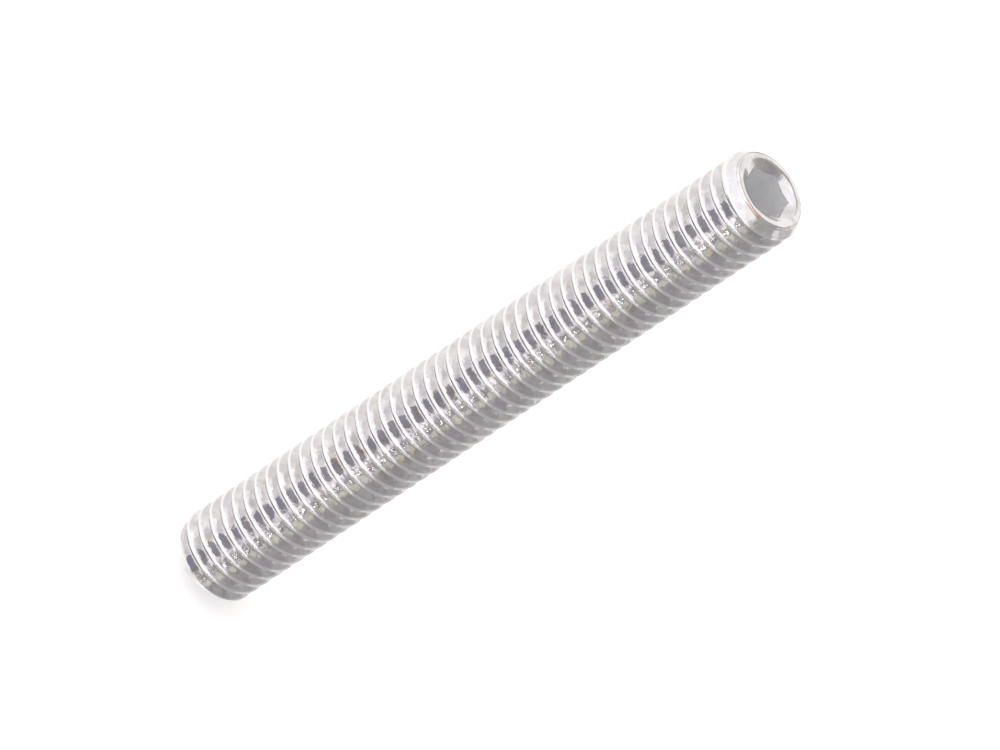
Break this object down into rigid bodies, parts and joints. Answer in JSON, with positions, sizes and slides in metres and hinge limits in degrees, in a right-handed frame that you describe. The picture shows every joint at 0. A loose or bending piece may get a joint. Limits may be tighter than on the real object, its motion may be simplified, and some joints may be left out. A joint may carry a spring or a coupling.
{
  "type": "socket set screw",
  "caption": "Headless metric set screw, threaded over its whole length, with a hexagon socket in one end and a cup point on the other.",
  "frame": {"origin": "centre of the cup point's flat rim, which the screw stands on", "axes": "+Z along the screw's axis, from the cup point to the socket end; two flats of the hexagon face +Y and -Y"},
  "size_m": [0.006, 0.006, 0.05],
  "materials": {
    "zinc_steel": "bright zinc plate on steel, with rolled thread flanks"
  },
  "bodies": {
    "root": {"set_screw": "zinc_steel"}
  },
  "joints": []
}
